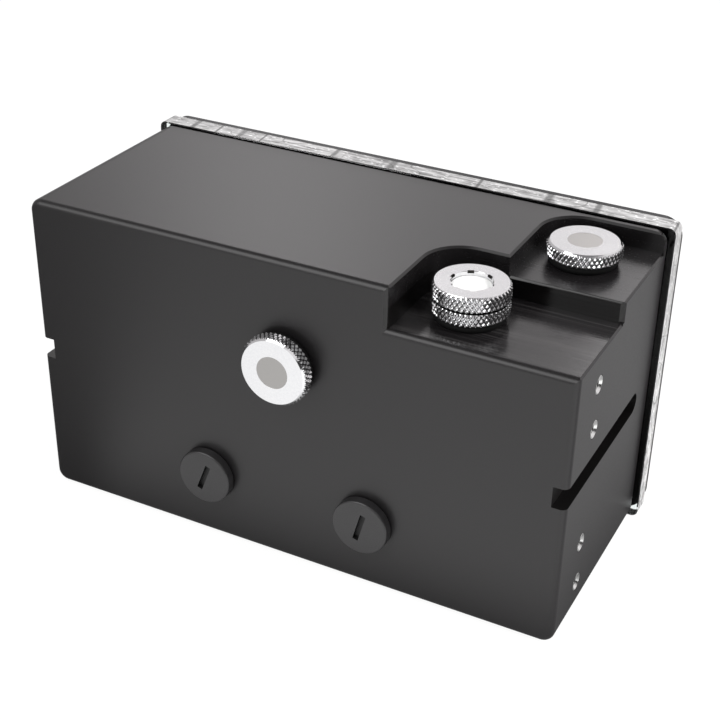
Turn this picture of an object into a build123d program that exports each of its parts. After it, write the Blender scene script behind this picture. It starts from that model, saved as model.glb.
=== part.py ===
from build123d import *
import math
import os

# Liquid cooling reservoir for two stacked 5.25 inch drive bays.
# Millimetres, +Z up. The window faces -Y, the ports face +Y and the two
# filling steps are at the top on the -X side.
# The origin is under the middle of the whole part, on its lowest plane.

# Body block
body_width = 146.05
body_height = 84.3
body_depth = 60.4
long_edge_radius = 3.2
back_edge_radius = 1.6
plate_overhang_side = 1.7
plate_overhang_end = 0.5

# Chamber milled from the front
side_wall = 12.0
floor_wall = 11.5
ceiling_wall = 15.8
back_wall = 10.0
chamber_corner_radius = 6.0
step_ceiling_drop = 4.4
step_wall = 8.0

# Two filling steps in the top, at the -X side
low_step_length = 45.95
low_step_depth = 28.7
low_step_drop = 10.7
high_step_length = 28.45
high_step_drop = 5.3
front_rib = 2.2
step_corner_radius = 10.0
step_edge_chamfer = 0.5
riser_corner_chamfer = 1.1
front_edge_chamfer = 0.6

# Rail grooves and threaded inserts in both sides
groove_depth = 3.6
groove_height = 5.6
groove_length = 50.0
rail_hole_setback = 15.0
rail_hole_first = 8.9
rail_hole_pitch = 11.84
rail_pair_spacing = 44.0
rail_insert_radius = 2.4
rail_insert_length = 6.0
rail_thread_radius = 1.5
insert_chamfer = 0.25
insert_clearance = 0.02
insert_hole_spare = 1.2
cut_overlap = 0.01

# Window, frame, seal and screws at the front
plate_thickness = 6.0
plate_corner_radius = 1.8
plate_edge_chamfer = 0.3
bezel_thickness = 2.0
bezel_corner_radius = 5.0
bezel_inset = 0.1
bezel_edge_chamfer = 0.4
bezel_window_lap = 3.0
bezel_window_radius = 7.0
seal_offset = 1.2
seal_width = 2.0
seal_groove_depth = 1.5
seal_clearance = 0.05
seal_edge_radius = 0.55
screw_offset = 6.7
screws_across = 5
screw_radius = 1.45
screw_hole_clearance = 0.2
screw_head_radius = 2.9
screw_head_height = 1.6
screw_hex_across = 2.0
screw_hex_depth = 1.0
front_insert_radius = 2.1
front_insert_length = 5.6
front_insert_bore_radius = 1.5
screw_tip_spare = 1.0
screw_tip_chamfer = 0.3

# Ports, all with the same parallel pipe thread
thread_major_radius = 6.58
thread_pitch = 1.337
port_clearance = 0.07
port_mouth_chamfer = 0.3 * thread_pitch
vent_port_in = 32.05
vent_port_back = 14.9
fill_port_in = 15.95
fill_port_front = 15.4
return_port_height = 57.5
drain_port_height = 18.6
drain_port_spread = 22.4

# Chrome plugs
knurl_radius = 9.25
plug_head_thickness = 3.35
plug_head_chamfer = 0.9
plug_foot_chamfer = 0.4
plug_stem_length = 6.5
plug_stem_chamfer = 0.45 * thread_pitch
plug_bore_radius = 4.2
plug_bore_depth = 6.0
plug_neck_relief = 0.3
ring_section = 2.0
ring_radius = 7.5
ring_clearance = 0.05

# Vent plug: a threaded base and a cap that turns on it
vent_base_thickness = 3.05
vent_gap = 0.5
vent_cap_thickness = 3.75
vent_cap_chamfer = 0.6
vent_neck_radius = 5.9
vent_neck_clearance = 0.1
vent_neck_rise = 1.8
vent_air_radius = 2.5
vent_bore_radius = 4.85
vent_bore_depth = 1.5
vent_ledge_thickness = 0.35
vent_ledge_radius = 3.6
vent_membrane_thickness = 0.4
vent_membrane_clearance = 0.02
vent_notch_width = 1.65
vent_notch_reach = 0.35
vent_notch_depth = 0.55
vent_notches = 6
vent_notch_turn = -3.0
vent_stem_length = 7.5
cap_ring_section = 0.9
cap_ring_radius = 6.5
cap_ring_room = 0.12

# Black plugs in the lower ports
drain_head_radius = 7.5
drain_head_thickness = 2.5
drain_head_gap = 0.3
drain_head_edge = 0.5
drain_stem_length = 7.0
drain_bore_radius = 4.4
drain_bore_depth = 6.0
drain_neck_radius = 5.8
drain_ring_section = 1.3
drain_ring_radius = 6.5
drain_seat_radius = 7.3
drain_seat_depth = 1.15
slot_length = 7.8
slot_width = 1.5
slot_depth = 1.2
left_slot_tilt = -21.0
right_slot_tilt = -15.0

# Places worked out from the sizes
plate_width = body_width + 2 * plate_overhang_side
plate_height = body_height + 2 * plate_overhang_end
plug_rise = ring_section + 2 * ring_clearance + plug_head_thickness
overall_depth = body_depth + plate_thickness + bezel_thickness + plug_rise
back_y = overall_depth / 2 - plug_rise
front_y = back_y - body_depth
plate_front_y = front_y - plate_thickness
bezel_front_y = plate_front_y - bezel_thickness
half_width = body_width / 2
bottom_z = plate_overhang_end
top_z = bottom_z + body_height
middle_z = (bottom_z + top_z) / 2
low_floor_z = top_z - low_step_drop
high_floor_z = top_z - high_step_drop
high_step_x = high_step_length - half_width
rib_y = front_y + front_rib
chamber_half = half_width - side_wall
chamber_low = bottom_z + floor_wall
chamber_high = top_z - ceiling_wall
chamber_mid = (chamber_low + chamber_high) / 2
chamber_rise = chamber_high - chamber_low
low_step_x = low_step_length - half_width
low_step_y = back_y - low_step_depth
port_radius = thread_major_radius + port_clearance
neck_radius = thread_major_radius - plug_neck_relief
head_foot = ring_section + 2 * ring_clearance
vent_x = vent_port_in - half_width
vent_y = back_y - vent_port_back
fill_x = fill_port_in - half_width
fill_y = front_y + fill_port_front
return_z = bottom_z + return_port_height
drain_z = bottom_z + drain_port_height


def front_outline(width, height, radius, center_z, start_y, thickness):
    """A rounded rectangle seen from the front, as thick as asked towards -Y."""
    plane = Plane(origin=(0, start_y, center_z), x_dir=(1, 0, 0), z_dir=(0, -1, 0))
    return extrude(plane * RectangleRounded(width, height, radius), amount=thickness)


def top_block(x_low, x_high, y_low, y_high, z_low, z_high):
    """A box between six planes."""
    size = (x_high - x_low, y_high - y_low, z_high - z_low)
    middle = ((x_low + x_high) / 2, (y_low + y_high) / 2, (z_low + z_high) / 2)
    return Pos(*middle) * Box(*size)


def turned(points):
    """A turned piece from (radius, height) points, on the Z axis."""
    outline = Polyline(*[(r, 0, h) for r, h in points], close=True)
    return revolve(make_face(outline), Axis.Z, 360)


def ring(radius, section, height):
    """A round rubber ring whose middle is at the height asked."""
    return Pos(0, 0, height) * Torus(radius, section / 2)


def on_top(shape, x, y, z):
    """Stands a piece made on the Z axis upright in a step."""
    return Pos(x, y, z) * shape


def on_back(shape, x, z, turn=0.0):
    """Lays a piece made on the Z axis into the back face, +Z becoming +Y."""
    return Pos(x, back_y, z) * Rot(-90, 0, 0) * Rot(0, 0, turn) * shape


def step_outline(length, depth_from, depth_to, height):
    """A step seen from above: open at the -X side, round in its inner corner."""
    wall_x = length - half_width
    far_y = back_y - depth_to
    near_y = back_y - depth_from
    outer_x = -half_width - side_wall
    corner = step_corner_radius
    with BuildSketch(Plane.XY.offset(height)) as floor:
        with BuildLine():
            Line((outer_x, near_y), (wall_x, near_y))
            Line((wall_x, near_y), (wall_x, far_y + corner))
            RadiusArc((wall_x, far_y + corner), (wall_x - corner, far_y), corner)
            Line((wall_x - corner, far_y), (outer_x, far_y))
            Line((outer_x, far_y), (outer_x, near_y))
        make_face()
    return floor.sketch


def step_pocket(length, depth_from, depth_to, drop):
    """A step's cutter, open at the top."""
    floor = step_outline(length, depth_from, depth_to, top_z - drop)
    return extrude(floor, amount=drop + side_wall)


def step_rim(length, depth_from, depth_to):
    """The chamfer where a step's walls meet the top face."""
    rim = step_outline(length, depth_from, depth_to, top_z - step_edge_chamfer)
    return extrude(rim, amount=2 * step_edge_chamfer, taper=-45)


def edge_bevel(start, end, leg):
    """A bar along a straight edge that cuts a 45 degree chamfer of the leg asked."""
    side = leg * math.sqrt(2)
    run = [abs(b - a) for a, b in zip(start, end)]
    middle = [(a + b) / 2 for a, b in zip(start, end)]
    spans = [v if v > 0 else side for v in run]
    turn = [45 if v > 0 else 0 for v in run]
    return Pos(*middle) * Rot(*turn) * Box(*spans)


def step_bevels():
    """The chamfers on the straight outer edges of both steps."""
    side_x = -half_width
    leg = step_edge_chamfer
    low_corner = (side_x, low_step_y, low_floor_z)
    low_back = (side_x, back_y + leg, low_floor_z)
    high_front = (side_x, rib_y, high_floor_z)
    high_corner = (side_x, low_step_y, high_floor_z)
    riser_out = (side_x - leg, low_step_y, high_floor_z)
    riser_in = (high_step_x, low_step_y, high_floor_z)
    corner_top = (side_x, low_step_y, top_z)
    return [
        edge_bevel(low_corner, low_back, leg),
        edge_bevel(high_front, high_corner, leg),
        edge_bevel(riser_out, riser_in, leg),
        edge_bevel(low_corner, corner_top, riser_corner_chamfer),
    ]


def chamber():
    """The water space, milled from the front and shallower under the low step."""
    width = 2 * chamber_half
    whole = front_outline(
        width, chamber_rise, chamber_corner_radius, chamber_mid, front_y, body_depth - back_wall
    )
    whole = Pos(0, body_depth - back_wall, 0) * whole
    keep = top_block(
        -half_width,
        low_step_x + step_wall,
        low_step_y - step_wall,
        back_y,
        chamber_high - step_ceiling_drop,
        top_z,
    )
    return whole - keep


def port_bore(depth, mouth_radius=None, mouth_depth=0.0):
    """A port's cutter on the Z axis, with its mouth at the origin."""
    bore = Pos(0, 0, -depth / 2) * Cylinder(port_radius, depth + 2 * cut_overlap)
    mouth = Cone(port_radius, port_radius + port_mouth_chamfer, port_mouth_chamfer)
    bore += Pos(0, 0, -port_mouth_chamfer / 2) * mouth
    if mouth_radius:
        bore += Pos(0, 0, -mouth_depth / 2) * Cylinder(mouth_radius, mouth_depth)
    return bore


def rail_hole_places():
    """Heights of the threaded holes of one side, two for each bay."""
    first = bottom_z + rail_hole_first
    return [first + bay * rail_pair_spacing + n * rail_hole_pitch for bay in (0, 1) for n in (0, 1)]


def front_screw_places():
    """(x, z) of the screws round the window."""
    side = chamber_half + screw_offset
    low = chamber_low - screw_offset
    high = chamber_high + screw_offset
    row = [side * (2 * n / (screws_across - 1) - 1) for n in range(screws_across)]
    corners = [(x, z) for z in (low, high) for x in row]
    return corners + [(-side, chamber_mid), (side, chamber_mid)]


def along_x(shape, side):
    """Turns a piece made on the Z axis so that its +Z points out of a side."""
    return Rot(0, 90 * side, 0) * shape


def rail_groove(side):
    """The groove that a case's rail slides in, with a round end near the front."""
    height = groove_height
    plane = Plane(origin=(side * half_width, 0, middle_z), x_dir=(0, 1, 0), z_dir=(side, 0, 0))
    slot_run = groove_length + height
    middle_y = back_y + height - slot_run / 2
    slot = plane * (Pos(middle_y, 0) * SlotOverall(slot_run, height))
    return extrude(slot, amount=-groove_depth)


def front_seal_ring(grow_outer, grow_inner, start_y, thickness):
    """A frame that runs round the chamber's mouth at an even distance."""
    outer = front_outline(
        2 * (chamber_half + grow_outer),
        chamber_rise + 2 * grow_outer,
        chamber_corner_radius + grow_outer,
        chamber_mid,
        start_y,
        thickness,
    )
    inner = front_outline(
        2 * (chamber_half + grow_inner),
        chamber_rise + 2 * grow_inner,
        chamber_corner_radius + grow_inner,
        chamber_mid,
        start_y,
        thickness,
    )
    return outer - inner


def reservoir_body():
    """The milled block with its chamber, steps, ports, grooves and holes."""
    block = front_outline(
        body_width, body_height, long_edge_radius, middle_z, back_y, body_depth
    )
    front_edges = block.faces().sort_by(Axis.Y)[0].edges()
    block = chamfer(front_edges, front_edge_chamfer)
    block -= step_pocket(low_step_length, -side_wall, low_step_depth, low_step_drop)
    block -= step_pocket(
        high_step_length, low_step_depth - cut_overlap, body_depth - front_rib, high_step_drop
    )
    back_edges = block.edges().filter_by(
        lambda e: abs(e.bounding_box().min.Y - back_y) < 1e-4 and e.bounding_box().size.Y < 1e-4
    )
    block = fillet(back_edges, back_edge_radius)
    block -= step_rim(low_step_length, -side_wall, low_step_depth)
    block -= step_rim(high_step_length, low_step_depth, body_depth - front_rib)
    block -= step_bevels()
    block -= chamber()
    block -= Pos(0, seal_groove_depth, 0) * front_seal_ring(
        seal_offset + seal_width, seal_offset, front_y, seal_groove_depth
    )
    for side in (-1, 1):
        block -= rail_groove(side)
        depth = rail_insert_length + insert_hole_spare
        for z in rail_hole_places():
            hole = along_x(Cylinder(rail_insert_radius, depth), side)
            x = side * (half_width - depth / 2)
            block -= Pos(x, back_y - rail_hole_setback, z) * hole
    for x, z in front_screw_places():
        hole = Rot(90, 0, 0) * Cylinder(
            front_insert_radius, front_insert_length + screw_tip_spare
        )
        y = front_y + (front_insert_length + screw_tip_spare) / 2
        block -= Pos(x, y, z) * hole
    vent_bore = port_bore(low_floor_z - chamber_high + step_ceiling_drop)
    block -= on_top(vent_bore, vent_x, vent_y, low_floor_z)
    block -= on_top(port_bore(high_floor_z - chamber_high), fill_x, fill_y, high_floor_z)
    block -= on_back(port_bore(back_wall), 0, return_z)
    for side in (-1, 1):
        seat = port_bore(back_wall, drain_seat_radius, drain_seat_depth)
        block -= on_back(seat, side * drain_port_spread, drain_z)
    return block


def window_plate():
    """The clear plate that closes the chamber and shows the level."""
    plate = front_outline(
        plate_width, plate_height, plate_corner_radius, plate_height / 2, front_y, plate_thickness
    )
    plate = chamfer(plate.faces().sort_by(Axis.Y)[0].edges(), plate_edge_chamfer)
    plate = chamfer(plate.faces().sort_by(Axis.Y)[-1].edges(), plate_edge_chamfer)
    hole_radius = screw_radius + screw_hole_clearance
    for x, z in front_screw_places():
        hole = Rot(90, 0, 0) * Cylinder(hole_radius, plate_thickness)
        plate -= Pos(x, front_y - plate_thickness / 2, z) * hole
    return plate


def window_seal():
    """The rubber cord in its groove, pressed flat by the plate."""
    side_room = seal_clearance * 2
    cord = front_seal_ring(
        seal_offset + seal_width - side_room,
        seal_offset + side_room,
        front_y,
        seal_groove_depth - 2 * seal_clearance,
    )
    cord = Pos(0, seal_groove_depth - seal_clearance, 0) * cord
    rims = cord.faces().filter_by(Axis.Y).edges()
    return fillet(rims, seal_edge_radius)


def front_bezel():
    """The thin frame in front of the plate, with countersunk screw holes."""
    bezel = front_outline(
        plate_width - 2 * bezel_inset,
        plate_height - 2 * bezel_inset,
        bezel_corner_radius,
        plate_height / 2,
        plate_front_y,
        bezel_thickness,
    )
    bezel = chamfer(bezel.faces().sort_by(Axis.Y)[0].edges(), bezel_edge_chamfer)
    bezel -= front_outline(
        2 * (chamber_half - bezel_window_lap),
        chamber_rise - 2 * bezel_window_lap,
        bezel_window_radius,
        chamber_mid,
        plate_front_y,
        bezel_thickness,
    )
    window_rim = bezel.faces().sort_by(Axis.Y)[0].inner_wires()[0].edges()
    bezel = chamfer(window_rim, bezel_edge_chamfer)
    seat_radius = screw_head_radius + screw_hole_clearance
    hole_radius = screw_radius + screw_hole_clearance
    seat = turned(
        [
            (0, -cut_overlap),
            (seat_radius, -cut_overlap),
            (seat_radius, 0),
            (hole_radius, screw_head_height),
            (hole_radius, bezel_thickness),
            (0, bezel_thickness),
        ]
    )
    for x, z in front_screw_places():
        bezel -= Pos(x, bezel_front_y, z) * Rot(-90, 0, 0) * seat
    return bezel


def front_screw():
    """A countersunk screw, its head's face at the origin and its tip up the Z axis."""
    length = bezel_thickness + plate_thickness + front_insert_length
    screw = turned(
        [
            (0, 0),
            (screw_head_radius, 0),
            (screw_radius, screw_head_height),
            (screw_radius, length - screw_tip_chamfer),
            (screw_radius - screw_tip_chamfer, length),
            (0, length),
        ]
    )
    socket = extrude(RegularPolygon(screw_hex_across / 2, 6, major_radius=False), screw_hex_depth)
    return screw - socket


def insert(radius, bore_radius, length):
    """A metal thread insert, its mouth at the origin and its foot down the Z axis."""
    edge = insert_chamfer
    outer = radius - insert_clearance
    return turned(
        [
            (bore_radius + edge, 0),
            (outer, 0),
            (outer, -length + edge),
            (outer - edge, -length),
            (bore_radius, -length),
            (bore_radius, -edge),
        ]
    )


def front_group(piece, y):
    """Copies of a piece at the front screw places, +Z turned to +Y."""
    places = front_screw_places()
    return Compound([Pos(x, y, z) * Rot(-90, 0, 0) * piece for x, z in places])


def rail_inserts(side):
    """The threaded inserts of one side."""
    piece = along_x(insert(rail_insert_radius, rail_thread_radius, rail_insert_length), side)
    x = side * half_width
    y = back_y - rail_hole_setback
    return Compound([Pos(x, y, z) * piece for z in rail_hole_places()])


def stem_points(length, bore_radius, bore_depth):
    """The lower end of a plug, from the bore's top round to the thread's top."""
    edge = plug_stem_chamfer
    outer = thread_major_radius
    return [
        (0, bore_depth - length),
        (bore_radius, bore_depth - length),
        (bore_radius, -length),
        (outer - edge, -length),
        (outer, edge - length),
        (outer, -port_mouth_chamfer),
    ]


def knurled_plug():
    """A chrome plug without its knurl, its ring's seat at the origin."""
    top = head_foot + plug_head_thickness
    rim = knurl_radius
    points = stem_points(plug_stem_length, plug_bore_radius, plug_bore_depth)
    points += [
        (neck_radius, 0),
        (neck_radius, head_foot),
        (rim - plug_foot_chamfer, head_foot),
        (rim, head_foot + plug_foot_chamfer),
        (rim, top - plug_head_chamfer),
        (rim - plug_head_chamfer, top),
        (0, top),
    ]
    return turned(points)


def plug_ring():
    """The rubber ring under a chrome plug."""
    return ring(ring_radius, ring_section, ring_section / 2 + ring_clearance)


def vent_base():
    """The threaded lower half of the vent plug, open along its middle."""
    top = head_foot + vent_base_thickness
    edge = plug_foot_chamfer
    stem_edge = thread_major_radius - plug_stem_chamfer
    return turned(
        [
            (vent_air_radius, -vent_stem_length),
            (stem_edge, -vent_stem_length),
            (thread_major_radius, plug_stem_chamfer - vent_stem_length),
            (thread_major_radius, -port_mouth_chamfer),
            (neck_radius, 0),
            (neck_radius, head_foot),
            (knurl_radius - edge, head_foot),
            (knurl_radius, head_foot + edge),
            (knurl_radius, top - edge),
            (knurl_radius - edge, top),
            (vent_neck_radius, top),
            (vent_neck_radius, top + vent_gap + vent_neck_rise),
            (vent_air_radius, top + vent_gap + vent_neck_rise),
        ]
    )


vent_cap_low = head_foot + vent_base_thickness + vent_gap
vent_cap_top = vent_cap_low + vent_cap_thickness
vent_ledge_top = vent_cap_top - vent_bore_depth
vent_ledge_low = vent_ledge_top - vent_ledge_thickness
cap_ring_low = head_foot + vent_base_thickness + ring_clearance
cap_ring_top = cap_ring_low + cap_ring_section


def vent_cap():
    """The upper half of the vent plug, with a notched bore over its membrane."""
    edge = plug_foot_chamfer
    inner = vent_neck_radius + vent_neck_clearance
    recess = cap_ring_radius + cap_ring_section / 2 + cap_ring_room
    cap = turned(
        [
            (recess, vent_cap_low),
            (knurl_radius - edge, vent_cap_low),
            (knurl_radius, vent_cap_low + edge),
            (knurl_radius, vent_cap_top - vent_cap_chamfer),
            (knurl_radius - vent_cap_chamfer, vent_cap_top),
            (vent_bore_radius, vent_cap_top),
            (vent_bore_radius, vent_ledge_top),
            (vent_ledge_radius, vent_ledge_top),
            (vent_ledge_radius, vent_ledge_low),
            (inner, vent_ledge_low),
            (inner, cap_ring_top + ring_clearance),
            (recess, cap_ring_top + ring_clearance),
        ]
    )
    reach = 2 * (vent_bore_radius + vent_notch_reach)
    bar = Pos(0, 0, vent_cap_top - vent_notch_depth / 2)
    bar *= Box(reach, vent_notch_width, vent_notch_depth)
    for n in range(vent_notches // 2):
        cap -= Rot(0, 0, vent_notch_turn + n * 360 / vent_notches) * bar
    return cap


def vent_membrane():
    """The white breathing disc on the cap's ledge."""
    radius = vent_bore_radius - 2 * vent_membrane_clearance
    low = vent_ledge_top + vent_membrane_clearance
    disc = Pos(0, 0, low + vent_membrane_thickness / 2) * Cylinder(radius, vent_membrane_thickness)
    return chamfer(disc.faces().sort_by(Axis.Z)[-1].edges(), vent_membrane_thickness / 4)


def vent_cap_ring():
    """The small rubber ring between the two halves of the vent plug."""
    return ring(cap_ring_radius, cap_ring_section, (cap_ring_low + cap_ring_top) / 2)


def drain_plug():
    """A moulded black plug with a coin slot, the back face at its origin."""
    top = drain_head_gap + drain_head_thickness
    points = stem_points(drain_stem_length, drain_bore_radius, drain_bore_depth)
    points[-1] = (thread_major_radius, -drain_seat_depth - port_mouth_chamfer)
    points += [
        (drain_neck_radius, -drain_seat_depth),
        (drain_neck_radius, drain_head_gap),
        (drain_head_radius, drain_head_gap),
        (drain_head_radius, top),
        (0, top),
    ]
    plug = turned(points)
    rim = plug.faces().sort_by(Axis.Z)[-1].edges()
    plug = fillet(rim, drain_head_edge)
    slot = Pos(0, 0, top - slot_depth / 2) * Box(slot_width, slot_length, slot_depth)
    return plug - slot


def drain_ring():
    """The rubber ring round a black plug's neck, inside the port's seat."""
    low = -drain_seat_depth + ring_clearance
    return ring(drain_ring_radius, drain_ring_section, low + drain_ring_section / 2)


chrome_plug = knurled_plug()
plug_seal = plug_ring()
coin_plug = drain_plug()
coin_seal = drain_ring()

parts = {
    "reservoir_body": reservoir_body(),
    "window_plate": window_plate(),
    "window_seal": window_seal(),
    "front_bezel": front_bezel(),
    "front_screws": front_group(front_screw(), bezel_front_y),
    "front_inserts": front_group(
        Rot(180, 0, 0) * insert(front_insert_radius, front_insert_bore_radius, front_insert_length),
        front_y,
    ),
    "rail_inserts_left": rail_inserts(1),
    "rail_inserts_right": rail_inserts(-1),
    "vent_base": on_top(vent_base(), vent_x, vent_y, low_floor_z),
    "vent_base_ring": on_top(plug_seal, vent_x, vent_y, low_floor_z),
    "vent_cap": on_top(vent_cap(), vent_x, vent_y, low_floor_z),
    "vent_cap_ring": on_top(vent_cap_ring(), vent_x, vent_y, low_floor_z),
    "vent_membrane": on_top(vent_membrane(), vent_x, vent_y, low_floor_z),
    "fill_plug": on_top(chrome_plug, fill_x, fill_y, high_floor_z),
    "fill_plug_ring": on_top(plug_seal, fill_x, fill_y, high_floor_z),
    "return_plug": on_back(chrome_plug, 0, return_z),
    "return_plug_ring": on_back(plug_seal, 0, return_z),
    "drain_plug_left": on_back(coin_plug, drain_port_spread, drain_z, left_slot_tilt),
    "drain_plug_left_ring": on_back(coin_seal, drain_port_spread, drain_z),
    "drain_plug_right": on_back(coin_plug, -drain_port_spread, drain_z, right_slot_tilt),
    "drain_plug_right_ring": on_back(coin_seal, -drain_port_spread, drain_z),
}

os.makedirs("parts", exist_ok=True)
for name, shape in parts.items():
    export_step(shape, "parts/" + name + ".step")
    box = shape.bounding_box()
    print(name, [round(v, 2) for v in (*box.min, *box.max)])
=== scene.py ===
import logging
import math
from dataclasses import dataclass, replace
from enum import Enum
from typing import Callable, Optional, Sequence, Union

import bmesh
import bpy
from mathutils import Matrix, Vector


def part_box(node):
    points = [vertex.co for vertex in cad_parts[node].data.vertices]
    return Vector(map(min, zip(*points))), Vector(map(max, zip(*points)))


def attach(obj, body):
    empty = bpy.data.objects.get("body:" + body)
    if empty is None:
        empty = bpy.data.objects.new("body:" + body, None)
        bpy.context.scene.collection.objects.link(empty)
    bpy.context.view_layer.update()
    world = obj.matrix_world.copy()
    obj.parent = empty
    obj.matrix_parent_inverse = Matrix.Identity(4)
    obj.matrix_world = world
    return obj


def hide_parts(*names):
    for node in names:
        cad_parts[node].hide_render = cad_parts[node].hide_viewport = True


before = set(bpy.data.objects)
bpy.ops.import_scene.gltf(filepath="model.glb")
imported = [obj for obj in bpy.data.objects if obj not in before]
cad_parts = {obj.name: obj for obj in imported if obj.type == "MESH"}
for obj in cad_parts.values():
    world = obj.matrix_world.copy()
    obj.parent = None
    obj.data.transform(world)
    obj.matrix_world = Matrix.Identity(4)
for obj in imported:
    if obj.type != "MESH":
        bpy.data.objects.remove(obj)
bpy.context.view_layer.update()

LOG = logging.getLogger("reservoir")
MM = 0.001
LOW_STEP_MM = 10.7
HIGH_STEP_MM = 5.3
PLATE_RISE_MM = 0.5
HOLE_PITCH_MM = 11.84
BAY_PITCH_MM = 44.0
INSERT_RADIUS_MM = 2.38
SLOT_TILTS_DEG = {"drain_plug_left": -21.0, "drain_plug_right": -15.0}
SHARP_DEG = 28.0
TINY_MM = 0.01

Row = tuple[float, float]
Triple = tuple[float, float, float]
Shape = Callable[[float, float, float], float]
Value = Union[float, "Signal"]
Setting = Union[str, bool]
Tree = bpy.types.NodeTree
Material = bpy.types.Material
Thing = bpy.types.Object
Face = bpy.types.MeshPolygon


class Facing(Enum):
    """Which way a port's plug comes out of the block."""

    UP = "up"
    BACK = "back"


class Side(Enum):
    """The side of the block that a row of rail inserts is in."""

    LEFT = 1
    RIGHT = -1


def linear(hex_colour: str) -> tuple[float, float, float, float]:
    """Turns an sRGB hex colour into a linear colour with alpha.

    Args:
        hex_colour: six hex digits after a hash sign.

    Returns:
        The linear red, green, blue and an alpha of one.
    """
    channels = [int(hex_colour[i : i + 2], 16) / 255 for i in (1, 3, 5)]
    curved = [c / 12.92 if c <= 0.04045 else ((c + 0.055) / 1.055) ** 2.4 for c in channels]
    return (curved[0], curved[1], curved[2], 1.0)


def feed(node: bpy.types.Node, name: Union[int, str], value: Value) -> None:
    """Gives an input of a shader node its value, or links it.

    Args:
        node: the node.
        name: the input's name or number.
        value: a plain value, or another node's output.
    """
    if isinstance(value, Signal):
        node.id_data.links.new(value.node.outputs[value.out], node.inputs[name])
    else:
        node.inputs[name].default_value = value


def add_node(tree: Tree, kind: str, inputs: Optional[dict] = None, **settings: Setting) -> "Signal":
    """Adds one shader node with its settings and links.

    Args:
        tree: the node tree that gets the node.
        kind: the node's Blender type, without ShaderNode before it.
        inputs: input names or numbers, each with a value or an output to link.
        settings: attributes of the node.

    Returns:
        The node's first output.
    """
    node = tree.nodes.new("ShaderNode" + kind)
    for name, value in settings.items():
        setattr(node, name, value)
    for name, value in (inputs or {}).items():
        feed(node, name, value)
    return Signal(node)


def empty_tree(owner: Union[Material, bpy.types.World]) -> Tree:
    """Turns on the nodes of a material or a world, and empties them."""
    owner.use_nodes = True
    owner.node_tree.nodes.clear()
    return owner.node_tree


class Signal:
    """One output of a shader node: a number, a vector or a colour at every point."""

    def __init__(self, node: bpy.types.Node, out: Union[int, str] = 0) -> None:
        """Keeps the node and which of its outputs is meant."""
        self.node = node
        self.out = out

    def __getitem__(self, out: Union[int, str]) -> "Signal":
        """Another output of the same node."""
        return Signal(self.node, out)

    def then(self, kind: str, inputs: dict, **settings: Setting) -> "Signal":
        """The first output of a new node in the same tree."""
        return add_node(self.node.id_data, kind, inputs, **settings)

    def math(self, operation: str, *others: Value, clamp: bool = False) -> "Signal":
        """The result of one step of arithmetic on this number and others."""
        inputs = dict(enumerate((self, *others)))
        return self.then("Math", inputs, operation=operation, use_clamp=clamp)

    def __add__(self, other: Value) -> "Signal":
        """This number plus another."""
        return self.math("ADD", other)

    def __sub__(self, other: Value) -> "Signal":
        """This number less another."""
        return self.math("SUBTRACT", other)

    def __mul__(self, other: Value) -> "Signal":
        """This number times another."""
        return self.math("MULTIPLY", other)

    def __lt__(self, other: Value) -> "Signal":
        """1 where this number is the smaller one, else 0."""
        return self.math("LESS_THAN", other)

    def __gt__(self, other: Value) -> "Signal":
        """1 where this number is the larger one, else 0."""
        return self.math("GREATER_THAN", other)

    def __abs__(self) -> "Signal":
        """This number without its sign."""
        return self.math("ABSOLUTE")

    def axes(self) -> tuple["Signal", "Signal", "Signal"]:
        """The X, Y and Z of this vector."""
        split = self.then("SeparateXYZ", {0: self})
        return split["X"], split["Y"], split["Z"]

    def dot(self, way: Triple) -> "Signal":
        """How far this vector goes along a direction."""
        return self.then("VectorMath", {0: self, 1: way}, operation="DOT_PRODUCT")["Value"]

    def step(self, ends: Row, results: Row = (0.0, 1.0)) -> "Signal":
        """Goes smoothly from one result to another.

        Args:
            ends: this number's values at which the step starts and ends.
            results: what comes out at its start and at its end.

        Returns:
            The result.
        """
        names = ("Value", "From Min", "From Max", "To Min", "To Max")
        inputs = dict(zip(names, (self, *ends, *results)))
        return self.then("MapRange", inputs, interpolation_type="SMOOTHSTEP")

    def mix(self, first: Value, second: Value) -> "Signal":
        """Goes from one number to another as this number goes from 0 to 1."""
        return self.then("Mix", {0: self, 2: first, 3: second}, data_type="FLOAT")

    def cover(self, first: Union[str, "Signal"], second: str) -> "Signal":
        """Covers a colour with another one, as far as this number says.

        Args:
            first: the colour that is covered, in hex or from a node.
            second: the hex colour that covers it.

        Returns:
            The mixed colour.
        """
        under = first if isinstance(first, Signal) else linear(first)
        return self.then("Mix", {0: self, 6: under, 7: linear(second)}, data_type="RGBA")[2]

    def tint(self, dark: tuple[float, str], light: tuple[float, str]) -> "Signal":
        """Turns this number into a colour between two.

        Args:
            dark: the number at which the darker hex colour is reached, and the colour.
            light: the same for the lighter one.

        Returns:
            The colour.
        """
        ramp = self.then("ValToRGB", {"Fac": self})
        for element, (place, colour) in zip(ramp.node.color_ramp.elements, (dark, light)):
            element.position = place
            element.color = linear(colour)
        return ramp

    def marks(self, sizes_mm: Triple, detail: float = 2.0) -> "Signal":
        """Adds a noise over these coordinates, which are in millimetres.

        Args:
            sizes_mm: the marks' length along X, Y and Z.
            detail: how many finer layers the noise has.

        Returns:
            The noise, from 0 to 1.
        """
        scale = tuple(1 / size for size in sizes_mm)
        spot = self.then("Mapping", {"Vector": self, "Scale": scale})
        return self.then("TexNoise", {"Vector": spot, "Scale": 1.0, "Detail": detail})


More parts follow.
